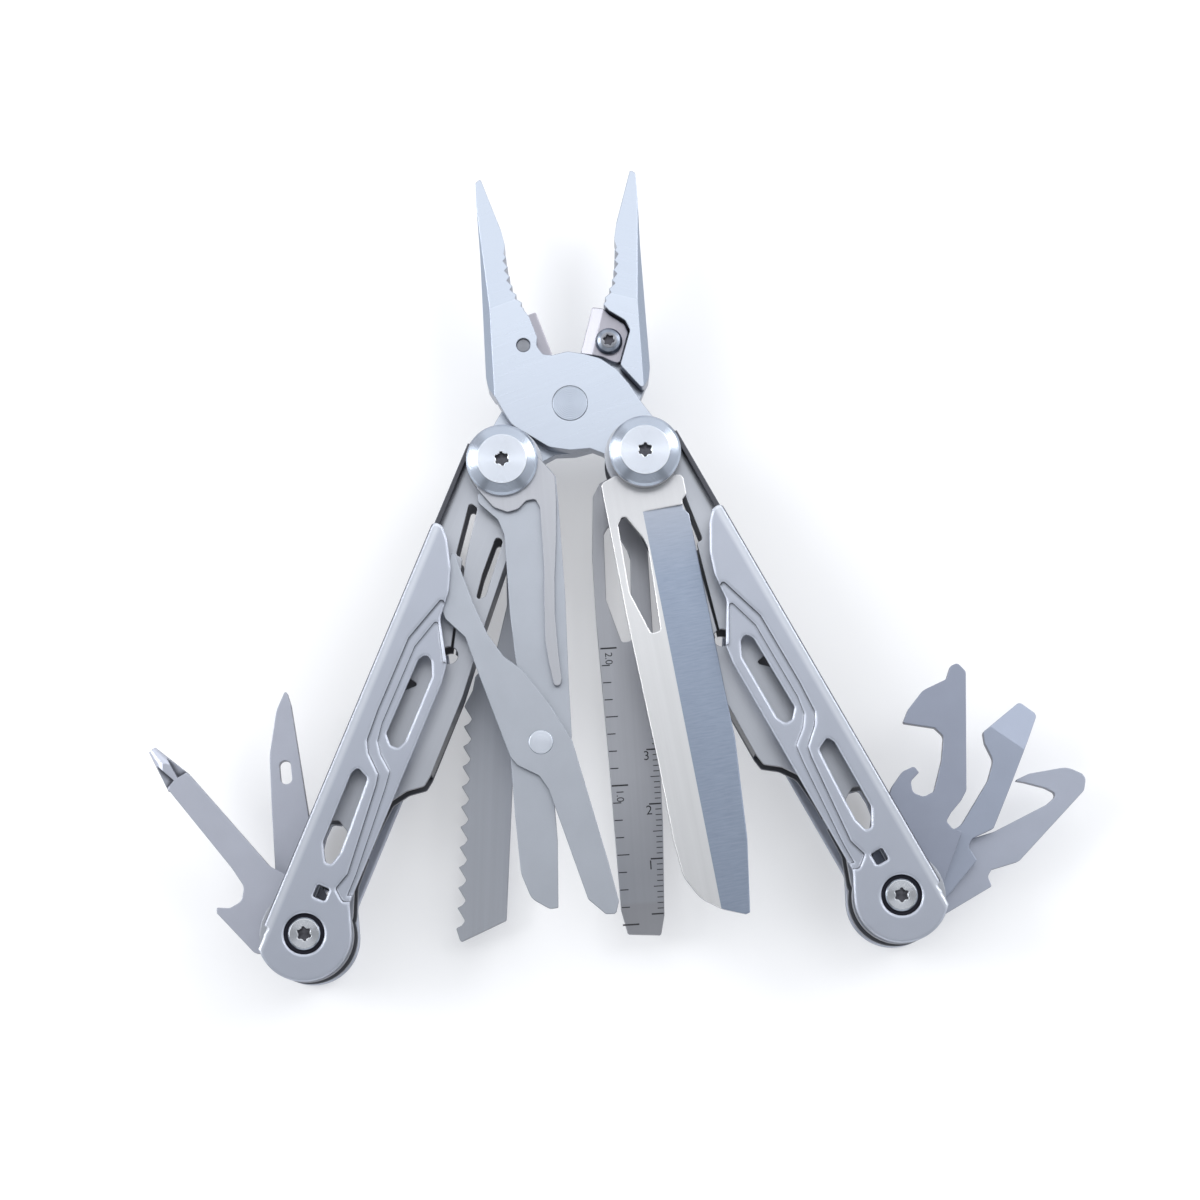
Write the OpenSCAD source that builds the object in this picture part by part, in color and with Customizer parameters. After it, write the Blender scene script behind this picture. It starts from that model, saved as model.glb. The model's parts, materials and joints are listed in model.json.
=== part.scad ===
// Folding pliers multi tool, lying open on a table with its tools fanned out.
// Lengths are millimetres and angles are degrees, with +Z up from the table.

/* [Whole tool] */
// Height of the tool's middle plane above the table
mid_z = 11; // [10.5:0.5:14]
// Pliers pivot from the centre of the opened tool, along X
main_x = -8.8; // [-20:0.1:20]
// Pliers pivot from the centre of the opened tool, along Y
main_y = 30.4; // [10:0.1:50]
// Turn of the whole tool on the table
tilt = 3.7; // [-20:0.1:20]

/* [Pliers] */
// Each jaw's turn from the closed line
jaw_open = 17.35; // [0:0.05:24]
// Half thickness of the pliers head
head_half = 3.7; // [3:0.1:5]
// Gap between the two halves of the lap joint, from the middle plane
lap_gap = 0.05; // [0.02:0.01:0.2]
// Radius of the flush pin through the lap joint
pin_r = 3.2; // [2:0.1:4.5]
// Length of a jaw from the pin to its tip
jaw_length = 46.3; // [40:0.1:60]
// Half thickness of a jaw at its tip
tip_half = 1.7; // [1:0.1:3]
// Distance of a handle pivot from the pliers pin, across the closed tool
pivot_x = 9.1; // [7:0.1:12]
// Distance of a handle pivot from the pliers pin, down the closed tool
pivot_y = 14.4; // [10:0.1:20]
// Radius of a tang round its handle pivot
tang_r = 5.8; // [4:0.1:7]

/* [Handles] */
// Distance between a handle's two pivots
handle_length = 92; // [80:0.5:110]
// Each handle's turn from the tool's centre line
handle_spread = 25.7; // [5:0.1:60]
// Half width of the channel that holds the pliers and the inner tools
channel_half = 3.9; // [3:0.1:6]
// Thickness of the sheet a liner is made of
liner_t = 1.1; // [0.8:0.1:2]
// Thickness of a blade or an outer tool
blade_t = 1.8; // [1:0.1:3]
// Space between neighbouring layers of a handle
layer_gap = 0.15; // [0.05:0.05:0.4]
// Thickness of an outer scale
scale_t = 1.1; // [0.8:0.1:2]
// Radius of the handle's lower end
end_r = 8.4; // [6:0.1:11]
// Depth of the step pressed into a scale
step_depth = 0.3; // [0:0.05:0.6]

/* [Fasteners] */
// Shaft radius of a handle pivot bolt
bolt_r = 3; // [2:0.1:4]
// Running clearance round a shaft
fit = 0.06; // [0.02:0.01:0.1]
// Head radius of a handle pivot bolt
bolt_head_r = 6.5; // [5:0.1:8]
// Shaft radius of a lower bolt
end_bolt_r = 2; // [1.5:0.1:3]
// Head radius of a lower bolt
end_head_r = 2.9; // [2.4:0.1:4]

/* [Tools] */
// Turn of the knife out of its handle
knife_turn = 18.5; // [0:0.5:180]
// Turn of the file out of its handle
file_turn = 26; // [0:0.5:180]
// Turn of the scissors out of their handle
scissors_turn = 27; // [0:0.5:180]
// Turn of the saw out of its handle
saw_turn = 20.4; // [0:0.1:180]
// Turn of the cross-head screwdriver out of its handle
phillips_turn = 62; // [0:1:180]
// Turn of the awl out of its handle
awl_turn = 27; // [0:1:180]
// Turn of the can opener out of its handle
can_turn = 43; // [0:1:180]
// Turn of the flat screwdriver out of its handle
flat_turn = 64; // [0:1:180]
// Turn of the hooked cutter out of its handle
hook_turn = 86; // [0:1:180]
// Distance from one saw tooth to the next
saw_pitch = 3.7; // [2:0.1:6]

/* [Hidden] */
$fn = 48;

eps = 0.01;
liner_z = channel_half;
liner_top = liner_z + liner_t;
level_a = liner_top + layer_gap;
level_b = level_a + blade_t + layer_gap;
scale_z = level_b + blade_t + 0.2;
scale_top = scale_z + scale_t;
half_height = mid_z;
head_z = scale_z;
leaf_t = (blade_t - 0.1) / 2;
flange_t = 0.8;
flange_x = -7.2;
outer_tang_r = 6.2;
pivot_radius = norm([pivot_x, pivot_y]);
pivot_lean = atan2(pivot_x, pivot_y);
left_pivot = [main_x, main_y] + pivot_radius * [-sin(pivot_lean + jaw_open - tilt), -cos(pivot_lean + jaw_open - tilt)];
right_pivot = [main_x, main_y] + pivot_radius * [sin(pivot_lean + jaw_open + tilt), -cos(pivot_lean + jaw_open + tilt)];
left_angle = tilt - handle_spread;
right_angle = tilt + handle_spread;
screw_x = -4.1;
screw_y = 13.3;
rivet_x = 2.7;
rivet_y = -51.6;

steel = [0.72, 0.74, 0.78];
bright = [0.85, 0.86, 0.88];
dark = [0.45, 0.47, 0.5];

// --- outline helpers ---

function unit(v) = v / norm(v);

function turn(d) = d > 180 ? d - 360 : d < -180 ? d + 360 : d;

function corner(a, b, c, r, n) =
    let (u = unit(a - b), w = unit(c - b), angle = acos(max(-1, min(1, u * w))))
    r <= 0 || angle > 178 || angle < 1 ? [b] :
    let (
        reach = min(r / tan(angle / 2), 0.48 * min(norm(a - b), norm(c - b))),
        radius = reach * tan(angle / 2),
        p = b + u * reach,
        q = b + w * reach,
        centre = b + unit(u + w) * radius / sin(angle / 2),
        start = atan2(p[1] - centre[1], p[0] - centre[0]),
        sweep = turn(atan2(q[1] - centre[1], q[0] - centre[0]) - start)
    )
    [for (i = [0:n]) centre + radius * [cos(start + sweep * i / n), sin(start + sweep * i / n)]];

// Points [x, y, corner radius] to an outline with round corners.
function rounded(p, n = 5) =
    let (k = len(p))
    [for (i = [0:k - 1])
        let (a = p[(i + k - 1) % k], b = p[i], c = p[(i + 1) % k])
        each corner([a[0], a[1]], [b[0], b[1]], [c[0], c[1]], b[2], n)];

module plate(points, z0, z1, n = 5) {
    translate([0, 0, z0]) linear_extrude(z1 - z0) polygon(rounded(points, n));
}

module disc(r, z0, z1) {
    translate([0, 0, z0]) cylinder(r = r, h = z1 - z0);
}

module six_lobe(r, z0, z1) {
    translate([0, 0, z0]) linear_extrude(z1 - z0) union() {
        circle(r = r * 0.78, $fn = 24);
        for (a = [0:60:300]) rotate(a) translate([r * 0.76, 0]) circle(r = r * 0.24, $fn = 16);
    }
}

// --- where each group of pieces stands ---

module at_front_jaw() {
    translate([main_x, main_y, mid_z]) rotate([0, 0, tilt + jaw_open]) children();
}

module at_rear_jaw() {
    translate([main_x, main_y, mid_z]) rotate([0, 0, tilt - jaw_open]) rotate([0, 180, 0]) children();
}

module at_left() {
    translate([left_pivot[0], left_pivot[1], mid_z]) rotate([0, 0, left_angle]) children();
}

module at_right() {
    translate([right_pivot[0], right_pivot[1], mid_z]) rotate([0, 0, right_angle]) mirror([1, 0, 0]) children();
}

module inner_tool(angle) {
    translate([0, -handle_length, 0]) rotate([0, 0, angle]) children();
}

// --- pliers head: both jaws are the same forging, one turned over ---

nose = [
    [-0.15, jaw_length, 0.35], [-0.15, 35.4, 0.5], [-0.5, 32.4, 0.8], [-1.3, 31, 0.4],
    [-1.1, 30.2, 0], [-1.9, 29.7, 0], [-1.5, 28.3, 0], [-2.3, 27.8, 0], [-1.8, 26.4, 0], [-2.6, 25.9, 0],
    [-2.0, 24.5, 0], [-2.7, 24, 0], [-1.9, 22.7, 0], [-2.4, 22.1, 0], [-1.5, 20.9, 0], [-1.9, 20.3, 0],
    [-1.5, 19.6, 0.2], [-2.8, 18.7, 1], [-6.2, 17.6, 1.5], [-7.5, 16, 1], [-7.3, 9.2, 1], [-12.3, 5.8, 0.5],
    [-12.9, 8.2, 1.5], [-12.6, 10.4, 1.5], [-9.2, 20.8, 0], [-5.5, 32.2, 0], [-2.7, 41.7, 4], [-1.3, jaw_length - 0.4, 0.6]
];

boss = [
    [-1.9, 20.3, 0], [-1.2, 17.9, 0.8], [-1.2, 13.8, 1], [-1.9, 12.3, 1], [-1.4, 10.4, 0.8], [0.2, 9.6, 0.6],
    [3, 9.3, 3], [5.5, 7.9, 4], [8.2, 5.9, 4], [10.3, 2.8, 4], [11.4, -0.5, 4], [12.2, -4, 3], [13.6, -9, 2],
    [pivot_x + tang_r, -pivot_y, 0], [pivot_x, -pivot_y, 0], [pivot_x - tang_r, -pivot_y, 0],
    [2.4, -11, 1.5], [0.4, -9.2, 0.8], [-3.1, -8.2, 4], [-6.5, -6.3, 3], [-8.1, -4.2, 3], [-11.4, 0, 4],
    [-12, 3.1, 4], [-12.7, 7.8, 3], [-12.6, 10.4, 1.5], [-9.2, 20.8, 0]
];

module edge_cut(x, y, angle, width, drop) {
    // removes a sloping strip along the jaw's outer edge, on both faces
    for (s = [-1, 1])
        translate([x, y, s * (head_half - drop)]) rotate([0, 0, angle])
            rotate([0, -s * atan2(drop, width), 0])
                translate([-12, -30, s > 0 ? 0 : -12]) cube([24, 60, 12]);
}

module jaw_shape() {
    slope = (head_half - tip_half) / (jaw_length - 22);
    difference() {
        union() {
            intersection() {
                plate(nose, -head_half, head_half);
                rotate([90, 0, 90]) translate([0, 0, -20]) linear_extrude(40)
                    polygon([[0, -head_half], [22, -head_half], [jaw_length + 2, -tip_half + 2 * slope],
                        [jaw_length + 2, tip_half - 2 * slope], [22, head_half], [0, head_half]]);
            }
            plate(boss, lap_gap, head_half);
            translate([pivot_x, -pivot_y, 0]) disc(tang_r, -head_half, head_half);
        }
        edge_cut(-9.2, 20.8, -17.6, 1.35, 1.5);
        disc(pin_r + fit, -head_half - 1, head_half + 1);
        translate([pivot_x, -pivot_y, 0]) disc(bolt_r + fit, -head_half - 1, head_half + 1);
        translate([screw_x, screw_y, 0]) disc(1.3, -head_half - 1, head_half + 1);
    }
}

module front_jaw() color(bright) at_front_jaw() jaw_shape();

module rear_jaw() color(bright) at_rear_jaw() jaw_shape();

module main_pivot_pin() color(steel) translate([main_x, main_y, mid_z]) disc(pin_r, -head_half, head_half);

cutter = [
    [0.5, 19.2, 0.3], [-1.5, 19.2, 0.3], [-2.9, 18.3, 0.8], [-6.1, 17.2, 1.2], [-7.1, 15.8, 0.8], [-7, 9.8, 0.6],
    [-5.5, 9.9, 1], [-3.6, 10.3, 1], [-1.6, 10.2, 1], [0.5, 10.2, 0.3]
];

module cutter_shape() {
    difference() {
        plate(cutter, -2, -lap_gap);
        translate([-1.7, 5, -2]) rotate([0, -25, 0]) translate([0, 0, -4]) cube([6, 20, 4]);
        translate([screw_x, screw_y, 0]) disc(1.3, -3, 1);
    }
}

module screw_shape() {
    translate([screw_x, screw_y, 0]) {
        disc(1.25, -2, head_half - 0.35);
        difference() {
            translate([0, 0, -2]) rotate([180, 0, 0]) rotate_extrude()
                polygon([[0, 0], [2.5, 0], [2.5, 0.5], [2.1, 1.15], [1.5, 1.5], [0, 1.6]]);
            six_lobe(1.1, -3.7, -2.7);
        }
    }
}

module front_wire_cutter() color(steel) at_rear_jaw() cutter_shape();

module rear_wire_cutter() color(steel) at_front_jaw() cutter_shape();

module front_cutter_screw() color(dark) at_rear_jaw() screw_shape();

module rear_cutter_screw() color(dark) at_front_jaw() screw_shape();

// --- handles: x is 0 on the line of the pivots and grows towards the spine ---

liner = [
    [flange_x, 1.5, 0.8], [flange_x, -handle_length - 1, 1], [-2, -handle_length - 6, 0], [2, -handle_length - 6, 0],
    [6.6, -handle_length + 5.5, 3], [4.4, -80.5, 3], [4.1, -70.5, 3], [4.6, -64.5, 2], [6.6, -61.6, 2], [9.2, -59.6, 0.8],
    [9.5, -57.6, 0.6], [9.4, -42, 4], [8.9, -36, 3], [8.1, -28, 4], [7.2, -14, 3], [6.9, -6, 2], [7.3, 0, 0], [0, 0, 0]
];

lock_slot = [[-3, -8.6, 0.5], [-1.2, -9.1, 0.6], [0.3, -18.2, 0.6], [4.5, -34.5, 0], [4.1, -34.7, 0], [-0.3, -18.6, 0.6], [-1.6, -18.6, 0.6]];

liner_window = [[-4.7, -71.8, 0.6], [-2.6, -71, 0.8], [-0.4, -72.3, 0.8], [0.2, -75, 1.2], [-0.4, -78.6, 0.6], [-2, -79.2, 0.6], [-4, -77.4, 1], [-4.9, -74.8, 1]];

module liner_plate(z0) {
    difference() {
        union() {
            translate([0, 0, z0]) linear_extrude(liner_t) union() {
                polygon(rounded(liner));
                circle(r = 7.3);
                translate([0, -handle_length]) circle(r = end_r);
            }
        }
        disc(bolt_r + 0.05, z0 - 1, z0 + liner_t + 1);
        translate([0, -handle_length, 0]) disc(end_bolt_r + 0.03, z0 - 1, z0 + liner_t + 1);
        plate(lock_slot, z0 - 1, z0 + liner_t + 1);
        plate(liner_window, z0 - 1, z0 + liner_t + 1);
        plate([[3.9, -12.6, 0.7], [5.4, -12.9, 0.7], [6.3, -23.6, 0.7], [4.9, -25, 0.7], [4.2, -20, 2]], z0 - 1, z0 + liner_t + 1);
        translate([4.3, -36, 0]) disc(1.6, z0 - 1, z0 + liner_t + 1);
        translate([3.6, -74, 0]) disc(1.1, z0 - 1, z0 + liner_t + 1);
        translate([-1.2, -handle_length + 6.6, z0 - 1]) cube([2.4, 2.4, liner_t + 2]);
    }
}

module flange(z0, z_low, z_high) {
    // the liner's edge turned outwards: low where a tool crosses it, full height where it carries the scale
    translate([flange_x, -handle_length + 1.5, z0]) cube([flange_t, handle_length - 0.5, z_low]);
    translate([flange_x, -62.5, z0]) cube([flange_t, 19.5, z_high]);
    translate([flange_x, -handle_length + 1.5, z0]) cube([flange_t, 11, z_high]);
}

web = [
    [6.2, -14.5, 0], [7.2, -14.5, 0], [8.1, -28, 0], [8.9, -36, 0], [9.35, -42, 0], [9.4, -57, 0],
    [8.4, -57, 0], [8.35, -42, 0], [7.9, -36, 0], [7.1, -28, 0]
];

module frame_shape() {
    difference() {
        liner_plate(liner_z);
        plate([[-1.4, -45.6, 0.3], [-1.4, -42.4, 0.3], [1.3, -43, 0.4]], liner_z - 1, liner_top + 1);
    }
    liner_plate(-liner_top);
    flange(liner_top - eps, blade_t + 2 * layer_gap, scale_z - liner_top + eps);
    mirror([0, 0, 1]) flange(liner_top - eps, blade_t + 2 * layer_gap, scale_z - liner_top + eps);
    plate(web, -liner_z - eps, liner_z + eps);
}

scale_outline = [
    [flange_x, -15.2, 1.2], [flange_x, -handle_length - 1.4, 0.4], [-6.3, -handle_length - 1.4, 0.4], [-6.6, -handle_length - 3, 0.3],
    [-2, -handle_length - 5, 0], [2, -handle_length - 5, 0], [7.6, -handle_length + 3.6, 1.5], [5.3, -84, 2.5],
    [5.4, -41.5, 2], [4.9, -38, 2], [0.7, -31, 2.5], [0.3, -25.8, 4], [-1, -21.8, 3], [-3.6, -17.2, 2.5], [-5.4, -15.2, 1.2]
];

upper_window = [
    [-0.1, -39.3, 1.2], [0.8, -37.8, 0.8], [2.2, -38.6, 1], [3.4, -41.2, 1], [3.4, -53.8, 0.8], [2.6, -55.4, 0.6], [1.2, -55.4, 0.6], [-0.3, -53.7, 0.8]
];

lower_window = [
    [-2.6, -61.2, 0.6], [-0.2, -62.4, 0.8], [0.3, -72.5, 2], [0.4, -76.4, 1], [-0.3, -79, 0.5], [-1.4, -79, 0.6], [-3.2, -75.8, 1.2], [-3.3, -62.6, 0.8]
];

outer_step = [
    [-0.4, -27.4, 0.5], [-3.2, -36.4, 1], [-3.3, -50.4, 1], [-3, -56.2, 0.8], [-1.9, -58.2, 0.8], [1.2, -61, 0.8], [1.6, -63, 0.8],
    [3, -79.4, 0.8], [2, -82.6, 0.6], [4.2, -84.4, 0.8], [12, -80, 0], [12, -30, 0], [3, -30, 0]
];

inner_step = [
    [0.3, -31, 0.5], [-1.6, -37.4, 1], [-1.7, -52.4, 0.8], [-1.2, -55.6, 0.6], [0.2, -57.6, 0.6], [2.9, -59.8, 0.8], [3.3, -63, 0.8], [4.4, -79, 0.6], [4.4, -83, 0],
    [12, -80, 0], [12, -38, 0], [4.2, -38, 0]
];

rear_window = [[-4.9, -71.5, 0.8], [-2, -70.8, 0.8], [-0.6, -76, 1], [-1.2, -78.6, 0.6], [-2.9, -78.9, 0.6], [-4.6, -76.8, 1], [-5, -74.2, 1]];

module rear_scale_shape() {
    difference() {
        scale_shape();
        plate(rear_window, scale_z - 1, scale_top + 1);
    }
}

module scale_shape() {
    difference() {
        translate([0, 0, scale_z]) linear_extrude(scale_t) union() {
            polygon(rounded(scale_outline));
            translate([0, -handle_length]) intersection() {
                circle(r = end_r);
                translate([-6.4, -12]) square([20, 16]);
            }
        }
        plate(upper_window, scale_z - 1, scale_top + 1);
        plate(lower_window, scale_z - 1, scale_top + 1);
        plate(outer_step, scale_top - step_depth, scale_top + 1);
        plate(inner_step, scale_top - step_depth - 0.2, scale_top + 1);
        plate([[-1.2, -handle_length + 9, 0.4], [1.2, -handle_length + 9, 0.4], [1.2, -handle_length + 6.6, 0.4], [-1.2, -handle_length + 6.6, 0.4]], scale_z - 1, scale_top + 1);
        translate([0, -handle_length, 0]) {
            disc(end_bolt_r + 0.03, scale_z - 1, scale_top + 1);
            disc(end_head_r + 0.75, scale_top - 0.7, scale_top + 1);
        }
    }
}

module under() mirror([0, 0, 1]) children();

module pivot_head(recess) {
    difference() {
        rotate_extrude() polygon([[0, head_z], [bolt_head_r, head_z], [bolt_head_r, head_z + 0.75], [6.1, head_z + 1.1],
            [4.5, half_height], [0, half_height]]);
        if (recess) six_lobe(1.35, half_height - 1.1, half_height + 1);
    }
}

module pivot_bolt_shape() {
    pivot_head(true);
    disc(bolt_r, -head_z - 0.9, head_z + eps);
}

module pivot_nut_shape() {
    difference() {
        under() pivot_head(true);
        disc(bolt_r + 0.03, -head_z - 1, -head_z + 1);
    }
}

module washer(z0, z1, r) {
    difference() {
        disc(r, z0, z1);
        disc(bolt_r + 0.03, z0 - 1, z1 + 1);
    }
}

module end_head(top) {
    difference() {
        rotate_extrude() polygon([[0, scale_top - 0.68], [end_head_r, scale_top - 0.68], [end_head_r, top - 0.25], [end_head_r - 0.25, top], [0, top]]);
        six_lobe(1.35, top - 0.8, top + 1);
    }
}

module end_bolt_shape() {
    translate([0, -handle_length, 0]) {
        end_head(scale_top + 0.1);
        disc(end_bolt_r, -scale_top + 0.2, scale_top - 0.68 + eps);
    }
}

module end_nut_shape() {
    translate([0, -handle_length, 0]) difference() {
        under() end_head(half_height);
        disc(end_bolt_r + 0.02, -scale_top + 0.19, -scale_top + 2);
    }
}

module end_ring(z0, z1, r) {
    translate([0, -handle_length, 0]) difference() {
        disc(r, z0, z1);
        disc(end_bolt_r + 0.03, z0 - 1, z1 + 1);
    }
}

module left_frame() color(steel) at_left() frame_shape();

module left_front_scale() color(steel) at_left() scale_shape();

module left_rear_scale() color(steel) at_left() under() rear_scale_shape();

module left_pivot_bolt() color(bright) at_left() pivot_bolt_shape();

module left_pivot_nut() color(bright) at_left() pivot_nut_shape();

module left_pivot_washers() color(steel) at_left() {
    washer(level_a, level_a + blade_t, 6.4);
    washer(-level_a - blade_t, -level_a, 6.4);
}

module left_end_bolt() color(bright) at_left() end_bolt_shape();

module left_end_nut() color(bright) at_left() end_nut_shape();

module left_end_spacers() color(dark) at_left() {
    end_ring(liner_top + 0.02, scale_z - 0.02, 4.2);
    end_ring(-scale_z + 0.02, -liner_top - 0.02, 4.2);
    end_ring(-liner_z + 0.02, -2.05, 4.2);
}

module right_frame() color(steel) at_right() frame_shape();

module right_front_scale() color(steel) at_right() scale_shape();

module right_rear_scale() color(steel) at_right() under() rear_scale_shape();

module right_pivot_bolt() color(bright) at_right() pivot_bolt_shape();

module right_pivot_nut() color(bright) at_right() pivot_nut_shape();

module right_pivot_washers() color(steel) at_right() {
    washer(level_b, level_b + blade_t, 6.4);
    washer(-level_b - blade_t, -level_b, 6.4);
}

module right_end_bolt() color(bright) at_right() end_bolt_shape();

module right_end_nut() color(bright) at_right() end_nut_shape();

module right_end_spacers() color(dark) at_right() {
    end_ring(liner_top + 0.02, scale_z - 0.02, 4.2);
    end_ring(-scale_z + 0.02, -liner_top - 0.02, 4.2);
}

// --- outer tools, drawn folded along their handle and then turned out ---

module tang_hole(z0, z1) {
    disc(bolt_r + fit, z0 - 1, z1 + 1);
}

finger_hole = [
    [6.4, -10.7, 0.6], [7.3, -12, 0.8], [7.6, -24.5, 2], [5.2, -32.6, 0.6], [3.4, -32.4, 0.6], [2.7, -17, 1], [3.2, -15.2, 1], [5.6, -10.7, 0.5]
];

knife_outline = [
    [-6, -5, 1], [-6, -8.6, 0.4], [-5, -9.6, 0.5], [-4.9, -11, 0.3], [-5.8, -12.2, 0.3], [-5.9, -46, 0], [-6, -54, 10], [-4.6, -72, 10], [-2.5, -85, 0.2],
    [-1.7, -85.2, 0], [2.1, -83.6, 6], [5.6, -81, 6], [7.9, -76.6, 6], [8.4, -70, 6], [8.4, -55, 0], [8.9, -30, 0], [8.9, -3.9, 1], [6.2, -3, 1]
];

module knife() color(steel) at_right() rotate([0, 0, knife_turn]) difference() {
    union() {
        disc(outer_tang_r, level_a, level_a + blade_t);
        intersection() {
            plate(knife_outline, level_a, level_a + blade_t, 8);
            union() {
                translate([-20, -10.4, level_a - 1]) cube([40, 30, blade_t + 2]);
                rotate([90, 0, 0]) linear_extrude(100) polygon([
                    [-6.4, level_a + blade_t / 2 - 0.12], [2.4, level_a], [20, level_a],
                    [20, level_a + blade_t], [2.4, level_a + blade_t], [-6.4, level_a + blade_t / 2 + 0.12]]);
            }
        }
    }
    tang_hole(level_a, level_a + blade_t);
    plate(finger_hole, level_a - 1, level_a + blade_t + 1);
}

file_outline = [
    [1.5, -6, 1], [0.3, -14, 2], [0.3, -40, 0], [0.6, -66, 0], [1.4, -83, 0.4], [2.2, -86.5, 0.4], [8.2, -86, 0.5],
    [9.2, -81.5, 1], [9.8, -54, 0], [10.6, -28, 3], [10.6, -16, 3], [9.8, -5, 1.5], [8.4, -2.6, 1], [3, 0, 0]
];

module file_ruler() color(steel) at_right() rotate([0, 0, file_turn]) difference() {
    union() {
        disc(outer_tang_r, -level_a - blade_t, -level_a);
        plate(file_outline, -level_a - blade_t, -level_a);
    }
    tang_hole(-level_a - blade_t, -level_a);
    translate([0.9, 0, 0]) plate(finger_hole, -level_a - blade_t - 1, -level_a + 1);
    // fine cuts across the file's face and along its spine edge
    for (i = [0:13]) translate([0, -37 - i * 3.3, -level_a - blade_t]) cube([12, 0.5, 0.36], center = true);
}

scissors_outline = [
    [-4.9, -5.5, 0.5], [-4.9, -7.2, 1], [-1.6, -10.6, 1.5], [-0.7, -13.6, 2], [-0.9, -27.9, 0], [-0.5, -38, 4], [-2.9, -50, 4], [-3, -64, 0], [-2.8, -74.6, 5],
    [-1.3, -79.2, 3], [1.8, -81.3, 1.5], [3.3, -81.2, 0.3], [4.2, -69.3, 0], [4.2, -62.9, 3], [3.4, -58.4, 1], [7.4, -55.4, 2],
    [8.3, -50.8, 1], [8.6, -40.7, 0], [9.3, -25.5, 0], [9.5, -7.9, 1], [9.4, -3.4, 1], [6.6, 0.5, 1]
];

module scissors_base() color(steel) at_left() rotate([0, 0, scissors_turn]) difference() {
    union() {
        disc(outer_tang_r, level_b, level_b + leaf_t);
        plate(scissors_outline, level_b, level_b + leaf_t);
    }
    tang_hole(level_b, level_b + leaf_t);
    translate([rivet_x, rivet_y, 0]) disc(1.3 + 0.04, level_b - 1, level_b + blade_t);
}

spring_outline = [
    [-5.2, -4.4, 0.5], [-2.2, -8.4, 2], [0.2, -9.5, 1], [2.2, -9.1, 1.5], [3.7, -7.7, 0.8], [5.4, -7.5, 0.6], [6.1, -9.2, 0.8], [5.9, -20.3, 3], [5.4, -26.3, 3], [5, -33.4, 3], [5.3, -37.5, 3],
    [5.75, -40.6, 0.6], [5.95, -41.7, 0.4], [7, -41.8, 0.5], [7.4, -40.7, 0.5], [7.2, -36, 3], [7.2, -28.8, 3], [7.7, -22.3, 3], [8.5, -15.7, 3], [9.2, -8, 2], [9.3, -3.6, 1], [6.4, 0.5, 1]
];

module scissors_spring() color(steel) at_left() rotate([0, 0, scissors_turn]) difference() {
    union() {
        disc(outer_tang_r, level_b + leaf_t + 0.1, level_b + blade_t);
        plate(spring_outline, level_b + leaf_t + 0.1, level_b + blade_t);
    }
    tang_hole(level_b, level_b + blade_t);
}

lever_outline = [
    [-10.2, -14.6, 0.8], [-11.4, -19.3, 2], [-13.1, -26, 0.8], [-12.5, -28, 0.8], [-9.2, -31.6, 1.5], [-7.5, -38, 4], [-3.9, -50.5, 2],
    [-2.9, -53.9, 1.2], [-1.8, -55.4, 1], [1.9, -57.6, 0.8], [3.4, -60.2, 0], [8.7, -80.2, 1], [11.6, -83.1, 0.8], [13.4, -83.2, 0.6], [14.1, -81, 1],
    [12.8, -73.7, 0], [10.2, -61, 0], [8.3, -51.8, 3], [4.6, -44.6, 4], [0.4, -38.3, 3], [-2.7, -35.6, 3], [-5.2, -31.4, 3], [-7.3, -25.6, 4], [-9.3, -18.5, 3]
];

module scissors_lever() color(steel) at_left() rotate([0, 0, scissors_turn]) difference() {
    plate(lever_outline, level_b + leaf_t + 0.1, level_b + blade_t);
    translate([rivet_x, rivet_y, 0]) disc(1.3 + 0.04, level_b - 1, level_b + blade_t + 1);
    translate([3.4, -60.2, level_b + blade_t]) rotate([0, 0, 14.8]) rotate([0, -38, 0]) translate([-3, -27, 0]) cube([4.2, 25.5, 3]);
}

module scissors_rivet() color(bright) at_left() rotate([0, 0, scissors_turn]) translate([rivet_x, rivet_y, 0]) {
    disc(1.3, level_b + 0.02, level_b + blade_t + eps);
    translate([0, 0, level_b + blade_t + 0.01]) rotate_extrude() polygon([[0, 0], [2.2, 0], [2.1, 0.1], [0, 0.14]]);
}

saw_start = -43;
saw_teeth = 11;

function saw_edge() = [for (i = [0:saw_teeth - 1]) each [
    [-6, saw_start - i * saw_pitch, 0.15],
    [-4.5, saw_start - i * saw_pitch - saw_pitch * 0.62, 0.5],
    [-5.1, saw_start - i * saw_pitch - saw_pitch * 0.85, 0.3]]];

module wood_saw() color(steel) at_left() rotate([0, 0, saw_turn]) difference() {
    union() {
        disc(outer_tang_r, -level_b - blade_t, -level_b);
        plate(concat([[-3, -3, 0], [0.4, -8, 3], [1.2, -24, 5], [-0.6, -33, 4], [-4.2, -37.4, 0.8], [-4.6, -40, 0.6]],
            saw_edge(), [[-6.1, saw_start - saw_teeth * saw_pitch, 0.3], [-5.2, -86.2, 0.4], [3, -82, 0.5], [3.3, -57, 0],
            [3.6, -42, 4], [7.4, -34, 5], [7.9, -24, 4], [6.6, -3, 2]]), -level_b - blade_t, -level_b);
    }
    tang_hole(-level_b - blade_t, -level_b);
}

// --- inner tools, drawn folded into the channel from the lower pivot ---

module inner_plate(points, z0, z1) {
    difference() {
        union() {
            disc(6.6, z0, z1);
            plate(points, z0, z1);
        }
        disc(end_bolt_r + fit, z0 - 1, z1 + 1);
    }
}

phillips_outline = [
    [-7.4, 2, 1], [-9.2, 3.6, 1], [-9.9, 13.5, 0.3], [-9.3, 14.3, 0.3], [-7.6, 12.7, 1.5], [-5.2, 12.3, 1.5], [-3.2, 14, 2], [-2.8, 18, 1],
    [-2.7, 36.4, 0.4], [1.9, 36.4, 0.4], [2.6, 14, 3], [5.6, 6.5, 2], [5.8, 2, 0]
];

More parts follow.
